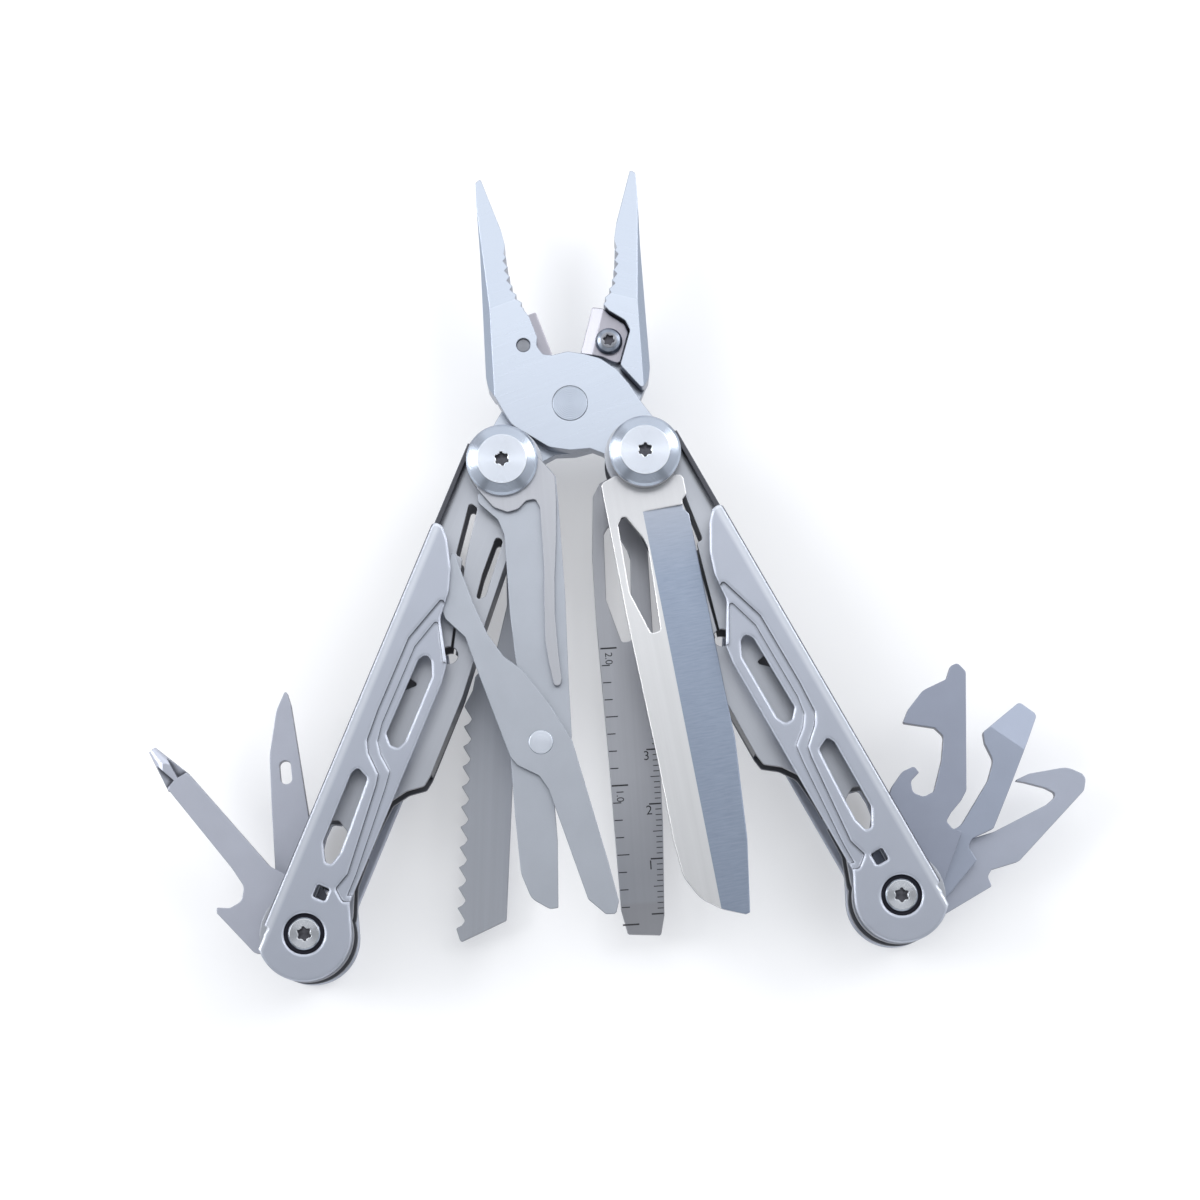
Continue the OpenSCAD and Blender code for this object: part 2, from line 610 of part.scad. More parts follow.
module phillips_driver() color(steel) at_left() inner_tool(phillips_turn) {
    mid = 2.1;
    inner_plate(phillips_outline, 0.6, 3.6);
    intersection() {
        difference() {
            translate([-0.5, 36.2, mid]) rotate([-90, 0, 0]) cylinder(r1 = 2.45, r2 = 0.75, h = 7.8);
            for (sx = [-1, 1], sz = [-1, 1])
                translate([-0.5 + sx * 0.5, 37.6, mid + sz * 0.36]) rotate([sz * 7, 0, -sx * 10])
                    translate([sx > 0 ? 0 : -3, -0.5, sz > 0 ? 0 : -3]) cube([3, 10, 3]);
        }
        translate([-4, 30, 0.6]) cube([8, 20, 3]);
    }
}

module awl() color(steel) at_left() inner_tool(awl_turn) difference() {
    inner_plate([[-6.4, 2, 0], [-6.4, 8, 2], [-5.2, 12.5, 3], [-5.1, 22.7, 8], [-4.8, 33.1, 10], [-3, 41.2, 6], [-1, 45, 0.3], [-0.3, 42, 2],
        [1.3, 23.5, 0], [2.6, 9, 4], [5.9, 3, 0]], -1.9, 0.3);
    plate([[-3.2, 32, 1], [-1.1, 32, 1], [-1, 27.7, 1], [-3.1, 27.7, 1]], -3, 1);
}

can_outline = [
    [-7, 2, 0], [-8.6, 14.2, 0.3], [-6.7, 14.3, 0.5], [-5.4, 15.3, 0.6], [-5.9, 17, 1], [-7.2, 19.6, 1], [-7.7, 21.6, 1.5], [-2.9, 42.6, 0.8], [-1.1, 43.8, 0.8], [0, 42.9, 0.5],
    [0.2, 40.4, 1], [3.9, 37.4, 3], [5.7, 33.4, 3], [6.1, 30.8, 0.3], [0.3, 31.3, 0.6], [-1.6, 30.2, 1.2], [-2.2, 26, 4], [-2.1, 20, 1],
    [-0.5, 18.6, 1.2], [1.6, 18.9, 1.2], [2.4, 20.8, 1], [1.3, 22.7, 0.2], [2.4, 23.6, 0.6], [4.2, 22.2, 1.5], [5.5, 19, 3], [6, 12, 3], [6.2, 2, 0]
];

module can_opener() color(steel) at_right() inner_tool(can_turn) inner_plate(can_outline, 1.45, 3.6);

flat_outline = [
    [-7, 2, 0], [-8.1, 13.8, 0.4], [-5.5, 15, 0.6], [-5.2, 16.5, 0.8], [-7.4, 20.3, 0.5], [-5.8, 27.9, 0], [-3.7, 37.3, 0], [-2.5, 42.1, 0.9],
    [1.4, 42.2, 0.8], [3.8, 33.8, 0.7], [2.4, 32.3, 0.8], [-0.6, 30.6, 2], [-1.8, 27, 3], [-2.3, 17.4, 3], [0.5, 12.5, 3], [5.4, 7.5, 3], [6.2, 2, 0]
];

module flat_driver() color(steel) at_right() inner_tool(flat_turn) intersection() {
    inner_plate(flat_outline, -1.1, 1.1);
    rotate([90, 0, 90]) translate([0, 0, -20]) linear_extrude(40)
        polygon([[-20, -1.1], [35.4, -1.1], [45, -0.25], [45, 0.25], [35.4, 1.1], [-20, 1.1]]);
}

hook_outline = [
    [-7, 2, 0], [-7.7, 15.8, 0.4], [-5.8, 16.2, 0.8], [-5.2, 17.4, 0.8], [-6.7, 22.4, 2], [-2.6, 39.6, 1.2], [-0.6, 41.5, 1.5], [2.6, 39.5, 4], [5.4, 33, 2], [5.8, 30.1, 0.15],
    [4.6, 31.4, 0.6], [1.7, 34, 2], [-0.6, 35.3, 0.8], [-1, 32.6, 1.2], [0.2, 21.7, 2], [2.6, 13.5, 4], [5.9, 8, 3], [6.2, 2, 0]
];

module hook_opener() color(steel) at_right() inner_tool(hook_turn) inner_plate(hook_outline, -3.6, -1.45);

// --- what is drawn ---

front_jaw();
rear_jaw();
main_pivot_pin();
front_wire_cutter();
rear_wire_cutter();
front_cutter_screw();
rear_cutter_screw();
left_frame();
left_front_scale();
left_rear_scale();
left_pivot_bolt();
left_pivot_nut();
left_pivot_washers();
left_end_bolt();
left_end_nut();
left_end_spacers();
scissors_base();
scissors_spring();
scissors_lever();
scissors_rivet();
wood_saw();
phillips_driver();
awl();
right_frame();
right_front_scale();
right_rear_scale();
right_pivot_bolt();
right_pivot_nut();
right_pivot_washers();
right_end_bolt();
right_end_nut();
right_end_spacers();
knife();
file_ruler();
can_opener();
flat_driver();
hook_opener();
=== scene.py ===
# %% [markdown]
# # A folding multi tool, lying open
#
# The real object is sheet and forged stainless steel: two channel handles that carry the pliers head
# and nine folding tools. The CAD frame already has every piece in its true shape and place. What is
# left for Blender is what steel looks like: blasted, brushed, ground and turned finishes, soft
# highlights along edges, partly from a rounded shading normal and partly painted, painted shade in
# recesses, corners and on tilted and upright faces, and the ruler's printed marks.
#
# The frame is loaded first.

import json
import math

import bmesh
import bpy
from mathutils import Matrix, Vector


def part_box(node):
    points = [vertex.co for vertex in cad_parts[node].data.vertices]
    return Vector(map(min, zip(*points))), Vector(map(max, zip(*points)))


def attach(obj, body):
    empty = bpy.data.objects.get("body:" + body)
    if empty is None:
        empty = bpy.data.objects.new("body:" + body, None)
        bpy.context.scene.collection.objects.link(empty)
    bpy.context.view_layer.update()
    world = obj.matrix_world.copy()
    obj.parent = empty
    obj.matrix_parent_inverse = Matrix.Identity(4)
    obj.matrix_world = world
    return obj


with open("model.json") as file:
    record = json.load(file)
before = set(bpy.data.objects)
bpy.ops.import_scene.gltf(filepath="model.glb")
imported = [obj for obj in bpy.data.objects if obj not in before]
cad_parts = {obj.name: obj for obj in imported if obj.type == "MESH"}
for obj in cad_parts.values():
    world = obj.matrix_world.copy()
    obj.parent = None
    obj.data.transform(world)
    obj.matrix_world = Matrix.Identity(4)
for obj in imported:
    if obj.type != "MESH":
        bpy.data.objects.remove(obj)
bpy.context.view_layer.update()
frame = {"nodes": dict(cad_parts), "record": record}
nodes = frame["nodes"]

# %% [markdown]
# Most finishes on this tool have a direction: a blade is ground across its length, a handle is rubbed
# along it. The directions can be worked out from the joints, because the two pivots of a handle give
# its line, and the folding limit of a tool says how far it is turned out of its handle. Working them
# out, rather than typing angles, keeps the finish right if the tool is redrawn. Only the jaws have no
# second pin to measure to, so how far they stand open is typed in.

# %% Find every piece's own direction
joint = {j["name"]: j for j in frame["record"]["behaviour"]["joints"]}


def pivot(name):
    """Where a joint's pin stands, in metres."""
    return Vector(joint[name]["pos_m"])


def direction(start, end):
    """The angle of the line between two pins, in radians."""
    line = pivot(end) - pivot(start)
    return math.atan2(line.y, line.x)


def fanned(name, folded_angle):
    """The angle of a tool that is turned out of its handle from folded_angle."""
    turn = math.radians(joint[name]["range_deg"][1]) * joint[name]["axis"][2]
    return folded_angle - turn


LEFT_JAW_OPEN, RIGHT_JAW_OPEN = 21.05, 13.65
left_line = direction("left_handle_fold", "awl_fold")
right_line = direction("right_handle_fold", "hook_opener_fold")
angle = {
    "left": left_line,
    "right": right_line,
    "knife": fanned("knife_fold", right_line),
    "file": fanned("file_fold", right_line),
    "scissors": fanned("scissors_fold", left_line),
    "saw": fanned("saw_fold", left_line),
    "phillips": fanned("phillips_fold", left_line + math.pi),
    "awl": fanned("awl_fold", left_line + math.pi),
    "can": fanned("can_opener_fold", right_line + math.pi),
    "flat": fanned("flat_driver_fold", right_line + math.pi),
    "hook": fanned("hook_opener_fold", right_line + math.pi),
    "left_jaw": math.radians(90 + LEFT_JAW_OPEN),
    "right_jaw": math.radians(90 - RIGHT_JAW_OPEN),
}
for name, value in angle.items():
    print(name, round(math.degrees(value), 1))

# %% [markdown]
# Steel in close-up is never one colour. Four effects turn up on nearly every piece here, so each is a
# node group that is built once: the fine pits of bead blasting, the hair lines of a belt or a brush,
# a mask along edges for wear, painted highlights and painted dark lines, and painted shade in a
# corner. A group could hold the whole shader, but then the exporter couldn't read it, so the groups give out
# only heights, tones, masks and normals.


# %% Helpers for node trees
def new_group(name, inputs, outputs):
    """An empty shader node group with named sockets."""
    group = bpy.data.node_groups.new(name, "ShaderNodeTree")
    for label, kind, value in inputs:
        socket = group.interface.new_socket(name=label, in_out="INPUT", socket_type=kind)
        if value is not None:
            socket.default_value = value
    for label, kind in outputs:
        group.interface.new_socket(name=label, in_out="OUTPUT", socket_type=kind)
    return group, group.nodes.new("NodeGroupInput"), group.nodes.new("NodeGroupOutput")


def node(tree, kind, **settings):
    """A node with its properties set, and input values given as in_0, in_Scale and so on."""
    made = tree.nodes.new(kind)
    for key, value in settings.items():
        if key.startswith("in_"):
            label = key[3:]
            made.inputs[int(label) if label.isdigit() else label].default_value = value
        else:
            setattr(made, key, value)
    return made


def maths(tree, operation, first, second=None, clamp=False):
    """One Math node whose inputs are sockets or numbers."""
    made = node(tree, "ShaderNodeMath", operation=operation, use_clamp=clamp)
    for slot, value in enumerate((first, second)):
        if value is None:
            continue
        if isinstance(value, (int, float)):
            made.inputs[slot].default_value = value
        else:
            tree.links.new(value, made.inputs[slot])
    return made.outputs[0]


# %% The pits of bead blasting
FLOAT, VECTOR = "NodeSocketFloat", "NodeSocketVector"

blasted, given, out = new_group(
    "bead_blasted", [("Place", VECTOR, None), ("Size", FLOAT, 5.0)], [("Height", FLOAT), ("Tone", FLOAT)]
)
pits = node(blasted, "ShaderNodeTexNoise", in_Detail=3.0, in_Roughness=0.65)
clouds = node(blasted, "ShaderNodeTexNoise", in_Scale=0.16, in_Detail=3.0)
blasted.links.new(given.outputs["Place"], pits.inputs["Vector"])
blasted.links.new(given.outputs["Size"], pits.inputs["Scale"])
blasted.links.new(given.outputs["Place"], clouds.inputs["Vector"])
blasted.links.new(pits.outputs["Fac"], out.inputs["Height"])
blasted.links.new(clouds.outputs["Fac"], out.inputs["Tone"])
print("group", blasted.name, "nodes", len(blasted.nodes))

# %% The hair lines of a brush or a belt
brushed, given, out = new_group(
    "brushed_lines",
    [("Place", VECTOR, None), ("Along", FLOAT, 0.05), ("Across", FLOAT, 4.0)],
    [("Height", FLOAT), ("Tone", FLOAT)],
)
stretch = node(brushed, "ShaderNodeCombineXYZ")
brushed.links.new(given.outputs["Along"], stretch.inputs["X"])
brushed.links.new(given.outputs["Across"], stretch.inputs["Y"])
brushed.links.new(given.outputs["Across"], stretch.inputs["Z"])
drawn = node(brushed, "ShaderNodeVectorMath", operation="MULTIPLY")
brushed.links.new(given.outputs["Place"], drawn.inputs[0])
brushed.links.new(stretch.outputs[0], drawn.inputs[1])
fine = node(brushed, "ShaderNodeTexNoise", in_Scale=1.0, in_Detail=4.0, in_Roughness=0.7)
broad = node(brushed, "ShaderNodeTexNoise", in_Scale=0.22, in_Detail=2.0)
for texture in (fine, broad):
    brushed.links.new(drawn.outputs[0], texture.inputs["Vector"])
brushed.links.new(fine.outputs["Fac"], out.inputs["Height"])
brushed.links.new(broad.outputs["Fac"], out.inputs["Tone"])
print("group", brushed.name, "nodes", len(brushed.nodes))

# %% [markdown]
# Stamped and machined edges are never knife sharp: they carry a small round that catches the light.
# Real bevels could be cut into every mesh, but the frame's meshes have to stay as they are. The Bevel
# node rounds only the shading. Comparing its normal with the face's own also tells where an edge is.
# That mask lightens the colour there, partly for the wear of handling and partly as a painted highlight,
# and it also draws painted shade as a dark line along the border of flat faces.

# %% An edge mask, for wear and painted highlights
SHADE_SAMPLES = 6
EDGE_MASK_GAIN = 3.0
edge, given, out = new_group("edge_wear_and_highlight", [("Radius", FLOAT, 0.0003)], [("Mask", FLOAT), ("Normal", VECTOR)])
rounded = node(edge, "ShaderNodeBevel", samples=SHADE_SAMPLES)
edge.links.new(given.outputs["Radius"], rounded.inputs["Radius"])
own_normal = node(edge, "ShaderNodeNewGeometry")
agree = node(edge, "ShaderNodeVectorMath", operation="DOT_PRODUCT")
edge.links.new(rounded.outputs[0], agree.inputs[0])
edge.links.new(own_normal.outputs["Normal"], agree.inputs[1])
# The mask marks edges; it gives wear, painted highlights and painted dark lines.
worn = maths(edge, "MULTIPLY", maths(edge, "SUBTRACT", 1.0, agree.outputs["Value"]), EDGE_MASK_GAIN, clamp=True)
edge.links.new(worn, out.inputs["Mask"])
edge.links.new(rounded.outputs[0], out.inputs["Normal"])
print("group", edge.name, "nodes", len(edge.nodes))

# %% [markdown]
# Shade falls where two faces meet. Ambient Occlusion measures how closed in a point is, so it finds
# those corners, and the colour is darkened there as painted shade. It looks only at the piece itself,
# so a painted shadow doesn't stay behind on a handle when the blade beside it swings away.

# %% Painted shade in a corner
OPEN_FACE = 0.94
CORNER_SHADE_GAIN = 3.2
crevice, given, out = new_group("crevice_painted_shade", [("Reach", FLOAT, 0.001)], [("Mask", FLOAT)])
corner = node(crevice, "ShaderNodeAmbientOcclusion", samples=SHADE_SAMPLES, only_local=True)
crevice.links.new(given.outputs["Reach"], corner.inputs["Distance"])
closed = maths(crevice, "SUBTRACT", OPEN_FACE, corner.outputs["AO"], clamp=True)
crevice.links.new(maths(crevice, "MULTIPLY", closed, CORNER_SHADE_GAIN, clamp=True), out.inputs["Mask"])
print("group", crevice.name, "nodes", len(crevice.nodes))

# %% [markdown]
# Every steel finish is put together the same way: a place in millimetres turned along the piece, one of
# the two surface groups for the grain, a base colour that drifts a little, and the edge and corner
# groups on top. One function does this, so that each finish below is only its own values. The shader
# and its plain numbers stay in the material.

# %% Places and mixes
MM = 1000.0
MIX_FACTOR, MIX_FIRST, MIX_SECOND, MIX_RESULT = 0, 6, 7, 2


def place_in_mm(tree, turn, centre):
    """Object coordinates in millimetres, with X along the piece and zero at its pin."""
    coords = node(tree, "ShaderNodeTexCoord")
    moved = Matrix.Rotation(-turn, 3, "Z") @ (-Vector(centre) * MM)
    mapped = node(tree, "ShaderNodeMapping", vector_type="POINT")
    mapped.inputs["Scale"].default_value = (MM, MM, MM)
    mapped.inputs["Rotation"].default_value = (0.0, 0.0, -turn)
    mapped.inputs["Location"].default_value = moved
    tree.links.new(coords.outputs["Object"], mapped.inputs["Vector"])
    return mapped.outputs[0]


def mix(tree, factor, first, second):
    """A colour mix whose inputs are sockets or colours."""
    made = node(tree, "ShaderNodeMix", data_type="RGBA")
    for slot, value in ((MIX_FACTOR, factor), (MIX_FIRST, first), (MIX_SECOND, second)):
        if isinstance(value, (int, float, tuple)):
            made.inputs[slot].default_value = value
        else:
            tree.links.new(value, made.inputs[slot])
    return made.outputs[MIX_RESULT]


# %% A steel finish
GRAIN_DEPTH = 0.00004
CORNER_SHADE_COLOUR = (0.035, 0.035, 0.045, 1.0)


def shade(colour, gain, lift=0.0):
    """A colour made darker or lighter, with its alpha, never above white."""
    return tuple(min(1.0, c * gain + lift) for c in colour) + (1.0,)


def steel(name, colour, turn=0.0, centre=(0, 0, 0), grain="brushed", roughness=0.34, bump=0.25,
          across=4.0, pit_size=5.0, edge_radius=0.0003, edge_gain=0.5, spread=0.07, corner_shade=0.8, reach=0.001):
    """A finished steel: returns the material and the sockets that later steps add to."""
    material = bpy.data.materials.new(name)
    material.use_nodes = True
    tree = material.node_tree
    tree.nodes.clear()
    shader = node(tree, "ShaderNodeBsdfPrincipled")
    shader.inputs["Metallic"].default_value = 1.0
    surface = node(tree, "ShaderNodeOutputMaterial")
    tree.links.new(shader.outputs[0], surface.inputs["Surface"])
    place = place_in_mm(tree, turn, centre)
    texture = node(tree, "ShaderNodeGroup", node_tree=brushed if grain == "brushed" else blasted)
    tree.links.new(place, texture.inputs["Place"])
    if grain == "brushed":
        texture.inputs["Across"].default_value = across
    else:
        texture.inputs["Size"].default_value = pit_size
    rim = node(tree, "ShaderNodeGroup", node_tree=edge)
    rim.inputs["Radius"].default_value = edge_radius
    base = mix(tree, texture.outputs["Tone"], shade(colour, 1 - spread), shade(colour, 1 + spread))
    fine_tone = maths(tree, "MULTIPLY", texture.outputs["Height"], 0.35)
    base = mix(tree, fine_tone, base, shade(colour, 0.86))
    # Edges are lightened: partly wear, partly a painted highlight.
    wear_and_highlight = maths(tree, "MULTIPLY", rim.outputs["Mask"], edge_gain)
    base = mix(tree, wear_and_highlight, base, shade(colour, 1.25, 0.05))
    # Corners are darkened: painted shade from the crevice group.
    shadow = node(tree, "ShaderNodeGroup", node_tree=crevice)
    shadow.inputs["Reach"].default_value = reach
    base = mix(tree, maths(tree, "MULTIPLY", shadow.outputs["Mask"], corner_shade), base, CORNER_SHADE_COLOUR)
    rough = node(tree, "ShaderNodeMapRange")
    rough.inputs["To Min"].default_value = roughness * 0.85
    rough.inputs["To Max"].default_value = roughness * 1.2
    tree.links.new(texture.outputs["Height"], rough.inputs["Value"])
    height = node(tree, "ShaderNodeBump")
    height.inputs["Strength"].default_value = bump
    height.inputs["Distance"].default_value = GRAIN_DEPTH
    tree.links.new(texture.outputs["Height"], height.inputs["Height"])
    tree.links.new(rim.outputs["Normal"], height.inputs["Normal"])
    tree.links.new(base, shader.inputs["Base Color"])
    tree.links.new(rough.outputs[0], shader.inputs["Roughness"])
    tree.links.new(height.outputs[0], shader.inputs["Normal"])
    return {"material": material, "tree": tree, "shader": shader, "place": place, "base": base,
            "height": height, "rim": rim}


# %% Tinting and wearing a finish
def tint(finish, mask, colour):
    """Where mask is 1, the finish takes colour instead of what it had."""
    finish["base"] = mix(finish["tree"], mask, finish["base"], colour + (1.0,))
    finish["tree"].links.new(finish["base"], finish["shader"].inputs["Base Color"])


def wear(name, finish):
    """Gives a CAD node its one finish."""
    mesh = nodes[name].data
    mesh.materials.clear()
    mesh.materials.append(finish["material"])
    print(name, "wears", finish["material"].name)


# %% [markdown]
# A cut side, a ground bevel or a dark border is a change of colour inside one finish, and most of these
# changes are painted shade, for how light falls on upright, tilted or bordering faces. It could be
# painted on an image, but the piece already tells where it is: by the place of the point along the
# piece, by how far its face is tilted, and by how near it is to an edge. These helpers read those.

# %% Masks that read where a point of the surface is
UPRIGHT_BELOW = 0.35
FLAT_ABOVE = 0.94
LINE_GAIN = 4.0


def parts(finish):
    """X, Y and Z of the place along the piece, in millimetres."""
    split = node(finish["tree"], "ShaderNodeSeparateXYZ")
    finish["tree"].links.new(finish["place"], split.inputs[0])
    return split.outputs


def between(finish, value, low, high, soft=0.05):
    """1 where value lies between low and high, fading over soft at both ends."""
    tree = finish["tree"]
    rise = node(tree, "ShaderNodeMapRange", in_1=low - soft, in_2=low + soft)
    fall = node(tree, "ShaderNodeMapRange", in_1=high - soft, in_2=high + soft, in_3=1.0, in_4=0.0)
    for ramp in (rise, fall):
        tree.links.new(value, ramp.inputs["Value"])
    return maths(tree, "MULTIPLY", rise.outputs[0], fall.outputs[0])


def upness(finish):
    """The Z of the surface's own normal."""
    geometry = node(finish["tree"], "ShaderNodeNewGeometry")
    split = node(finish["tree"], "ShaderNodeSeparateXYZ")
    finish["tree"].links.new(geometry.outputs["True Normal"], split.inputs[0])
    return split.outputs["Z"]


def dark_sides(finish, colour, amount=1.0):
    """Upright faces take colour: painted shade on sides that face away from the light, with some darker cut
    finish.
    """
    tree = finish["tree"]
    level = maths(tree, "ABSOLUTE", upness(finish))
    side = maths(tree, "MULTIPLY", maths(tree, "LESS_THAN", level, UPRIGHT_BELOW), amount)
    # worn is 1 away from edges, so the painted shade keeps off the lightened edges.
    worn = maths(tree, "SUBTRACT", 1.0, finish["rim"].outputs["Mask"], clamp=True)
    tint(finish, maths(tree, "MULTIPLY", side, worn), colour)


def dark_line(finish, amount, colour=(0.10, 0.115, 0.15)):
    """A painted dark line of shade that runs along the border of a flat face."""
    tree = finish["tree"]
    line = maths(tree, "MULTIPLY", finish["rim"].outputs["Mask"], LINE_GAIN, clamp=True)
    flat_side = maths(tree, "GREATER_THAN", maths(tree, "ABSOLUTE", upness(finish)), FLAT_ABOVE)
    tint(finish, maths(tree, "MULTIPLY", maths(tree, "MULTIPLY", line, flat_side), amount), colour)


# %% [markdown]
# The handles are the largest surfaces. Their scales are bead blasted to an even, slightly blue grey,
# and their outer border is rolled over. The light on it is painted: a bright band of painted highlight,
# then a dark line of painted shade where the border turns away. The well round the lower screw is
# painted black inside, as shade. These bands are held to the distance from the handle's middle line.
# Lights alone could draw them, but only for one place of the handle.

# %% Scales
BLAST = (0.51, 0.54, 0.62)
BORDER_SIDE = {"left": -1.0, "right": 1.0}
WELL_RADIUS, WELL_TOP = 3.75, 10.0
SHEEN_BAND, BORDER_BAND = (5.7, 6.75), (7.0, 7.6)
low_pin = {"left": "awl_fold", "right": "hook_opener_fold"}
for side in ("left", "right"):
    top = pivot(f"{side}_handle_fold")
    scale = steel(f"{side}_blasted_scale", BLAST, angle[side], top, grain="blasted", roughness=0.36,
                  bump=0.35, edge_radius=0.0008, edge_gain=0.5, spread=0.05, corner_shade=0.95, reach=0.0006)
    tree = scale["tree"]
    x, y, z = parts(scale)
    from_screw = maths(tree, "SUBTRACT", x, (pivot(low_pin[side]) - top).length * MM)
    squares = [maths(tree, "MULTIPLY", v, v) for v in (from_screw, y)]
    radius = maths(tree, "SQRT", maths(tree, "ADD", *squares))
    # Painted shade: the well round the lower screw is made black.
    sunk = maths(tree, "LESS_THAN", maths(tree, "ABSOLUTE", z), WELL_TOP)
    well = maths(tree, "MULTIPLY", maths(tree, "LESS_THAN", radius, WELL_RADIUS), sunk)
    tint(scale, well, (0.03, 0.03, 0.04))
    outward = maths(tree, "MULTIPLY", y, BORDER_SIDE[side])
    # Painted highlight: a bright band along the rolled border.
    sheen = maths(tree, "MULTIPLY", between(scale, outward, *SHEEN_BAND, soft=0.35), 0.55)
    tint(scale, sheen, (0.84, 0.87, 0.93))
    # Painted shade: a dark line where the border turns away.
    border = maths(tree, "MULTIPLY", between(scale, outward, *BORDER_BAND, soft=0.08), 0.85)
    tint(scale, border, (0.06, 0.06, 0.075))
    # Painted shade on the upright sides, with some darker cut finish.
    dark_sides(scale, (0.16, 0.165, 0.19), 0.85)
    for layer in ("front", "rear"):
        wear(f"{side}_{layer}_scale", scale)

# %% [markdown]
# The liners under the scales are rubbed along their length. Their turned-out lip and the inside of the
# channel lie in shade, so both are given painted shade, by height and by distance.

# %% Liners
LINER = (0.55, 0.57, 0.62)
LIP_BAND = (6.3, 7.6)
LIP_ABOVE, CHANNEL_BELOW = 5.1, 3.95
for side in ("left", "right"):
    liner = steel(f"{side}_rubbed_liner", LINER, angle[side], pivot(f"{side}_handle_fold"), roughness=0.36,
                  across=3.0, edge_radius=0.0002, edge_gain=0.5)
    tree = liner["tree"]
    outward = maths(tree, "MULTIPLY", parts(liner)[1], BORDER_SIDE[side])
    height = maths(tree, "ABSOLUTE", parts(liner)[2])
    turned_out = maths(tree, "GREATER_THAN", height, LIP_ABOVE)
    lip = maths(tree, "MULTIPLY", turned_out, between(liner, outward, *LIP_BAND, soft=0.05))
    # Painted shade on the turned-out lip.
    tint(liner, maths(tree, "MULTIPLY", lip, 0.9), (0.05, 0.05, 0.06))
    # Painted shade inside the channel.
    channel = maths(tree, "LESS_THAN", height, CHANNEL_BELOW)
    tint(liner, maths(tree, "MULTIPLY", channel, 0.8), (0.07, 0.07, 0.08))
    # Painted shade: a dark line along the flats, and dark upright sides with some darker cut finish.
    dark_line(liner, 0.6)
    dark_sides(liner, (0.07, 0.07, 0.08), 0.9)
    wear(f"{side}_frame", liner)

# %% [markdown]
# The pliers head is lighter: forged, then belted smooth. Its grain runs across the jaws. Its flats are
# pale, while the bevel along each jaw and the long taper towards the tip are given painted shade, the
# bevel darker and the taper between the two. The three differ only in slope, so the tilt of the face
# picks the painted shade. A painted dark line of shade runs round each flat.

# %% Pliers head
JAW = (0.60, 0.65, 0.74)
BEVEL_SLOPE, TAPER_SLOPE = (0.3, 0.985), (0.985, 0.99985)
pin_place = pivot("jaw_hinge")
for name, key in (("front_jaw", "left_jaw"), ("rear_jaw", "right_jaw")):
    jaw = steel(f"{name}_belted", JAW, angle[key] + math.pi / 2, pin_place, roughness=0.28, across=6.0,
                bump=0.07, edge_radius=0.00022, edge_gain=0.0, spread=0.02, corner_shade=0.95, reach=0.0012)
    # Painted shade: a dark line round each flat.
    dark_line(jaw, 0.8)
    # Painted shade on the bevel and the taper, picked by the face's tilt.
    level = maths(jaw["tree"], "ABSOLUTE", upness(jaw))
    bevel = maths(jaw["tree"], "MULTIPLY", between(jaw, level, *BEVEL_SLOPE, soft=0.004), 0.75)
    tint(jaw, bevel, (0.24, 0.28, 0.35))
    taper = maths(jaw["tree"], "MULTIPLY", between(jaw, level, *TAPER_SLOPE, soft=0.00004), 0.42)
    tint(jaw, taper, (0.36, 0.40, 0.47))
    # Painted shade on the upright sides, with some darker cut finish.
    dark_sides(jaw, (0.17, 0.19, 0.24), 0.8)
    wear(name, jaw)

# %% [markdown]
# The wire cutters are hard inserts, screwed to the jaws. They are ground, not belted, so they are
# duller and greyer, and the sloped face of the cutting edge is given painted shade on top of that.

# %% Wire cutters
CUTTER = (0.44, 0.43, 0.48)
EDGE_SLOPE = (0.5, 0.98)
for name, turn in (("front_wire_cutter", angle["right_jaw"]), ("rear_wire_cutter", angle["left_jaw"])):
    insert = steel(f"{name}_ground", CUTTER, turn, pin_place, roughness=0.4, across=6.0, bump=0.3)
    # Painted shade on the sloped face of the cutting edge.
    level = maths(insert["tree"], "ABSOLUTE", upness(insert))
    ground_edge = between(insert, level, *EDGE_SLOPE, soft=0.01)
    tint(insert, maths(insert["tree"], "MULTIPLY", ground_edge, 0.9), (0.34, 0.34, 0.38))
    # Painted shade on the upright sides, with some darker cut finish.
    dark_sides(insert, (0.12, 0.12, 0.14), 0.8)
    wear(name, insert)

# %% [markdown]
# Pins, bolts and nuts are turned on a lathe, so they carry rings round their own centre rather than
# straight lines. The rings are a sine of the distance from the centre, given as bump. A chamfer is a
# A chamfer is a slope again, given painted shade, and the driver recess, a disc below the head's top,
# is painted dark as shade.

# %% Turned steel, with rings round a centre
CHAMFER = (0.27, 0.31, 0.38)
CHAMFER_SLOPE = (0.2, 0.97)
RECESS_FLOOR = 2.0
RING_DEPTH = 0.00002


